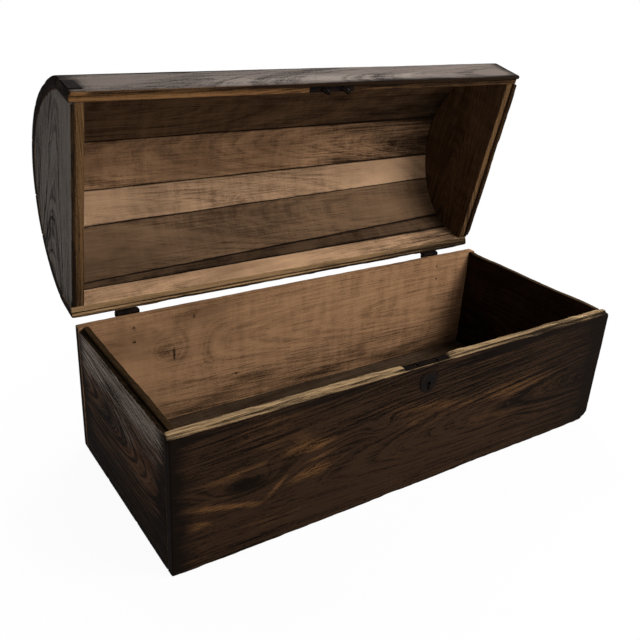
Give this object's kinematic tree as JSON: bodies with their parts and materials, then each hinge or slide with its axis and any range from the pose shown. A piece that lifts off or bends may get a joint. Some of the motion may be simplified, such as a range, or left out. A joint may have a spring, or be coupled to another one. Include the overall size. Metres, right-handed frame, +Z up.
{
  "type": "dome-top chest",
  "caption": "Dome-top plank chest: a nailed case with a rebated rim, a coopered barrel lid on strap hinges at the back, and a key lock whose sliding bolt catches staples on the lid.",
  "frame": {"origin": "middle of the case's flat underside", "axes": "+X along the length, front at -Y, hinges at +Y, +Z up"},
  "size_m": [1, 0.6292, 0.7121],
  "materials": {
    "case_wood": "dark stained plank, worn pale along the rim",
    "lid_wood": "weathered staves, dark outside and tan inside",
    "old_iron": "forged and blackened, lightly rusted",
    "nail_iron": "forged nail iron"
  },
  "bodies": {
    "case": {"front_board": "case_wood", "back_board": "case_wood", "left_end_board": "case_wood", "right_end_board": "case_wood", "bottom_plank_front": "case_wood", "bottom_plank_middle": "case_wood", "bottom_plank_rear": "case_wood", "hinge_leaf_left": "old_iron", "hinge_leaf_right": "old_iron", "hinge_pin_left": "old_iron", "hinge_pin_right": "old_iron", "lock_selvage": "old_iron", "lock_back_plate": "old_iron", "lock_spring": "old_iron", "lock_cap": "old_iron", "escutcheon": "old_iron", "corner_nails": "nail_iron", "base_nails": "nail_iron", "bottom_nails": "nail_iron", "hinge_leaf_nails": "nail_iron", "lock_posts": "old_iron", "key_post": "old_iron", "lock_nails": "nail_iron", "escutcheon_nails": "nail_iron"},
    "lid": {"lid_stave_1": "lid_wood", "lid_stave_2": "lid_wood", "lid_stave_3": "lid_wood", "lid_stave_4": "lid_wood", "lid_stave_5": "lid_wood", "lid_stave_6": "lid_wood", "lid_stave_7": "lid_wood", "lid_stave_8": "lid_wood", "lid_stave_9": "lid_wood", "lid_left_end": "lid_wood", "lid_right_end": "lid_wood", "hinge_strap_left": "old_iron", "hinge_strap_right": "old_iron", "strike_plate": "old_iron", "stave_nails": "nail_iron", "hinge_strap_nails": "nail_iron", "strike_staples": "old_iron", "strike_nails": "nail_iron"},
    "bolt": {"lock_bolt": "old_iron"}
  },
  "joints": [
    {"name": "lid_hinge", "type": "hinge", "parent": "case", "child": "lid", "pos_m": [0, 0.231, 0.26], "axis": [1, 0, 0], "range_deg": [0, 77.8]},
    {"name": "bolt_slide", "type": "slide", "parent": "case", "child": "bolt", "axis": [1, 0, 0], "range_m": [0, 0.01]}
  ]
}
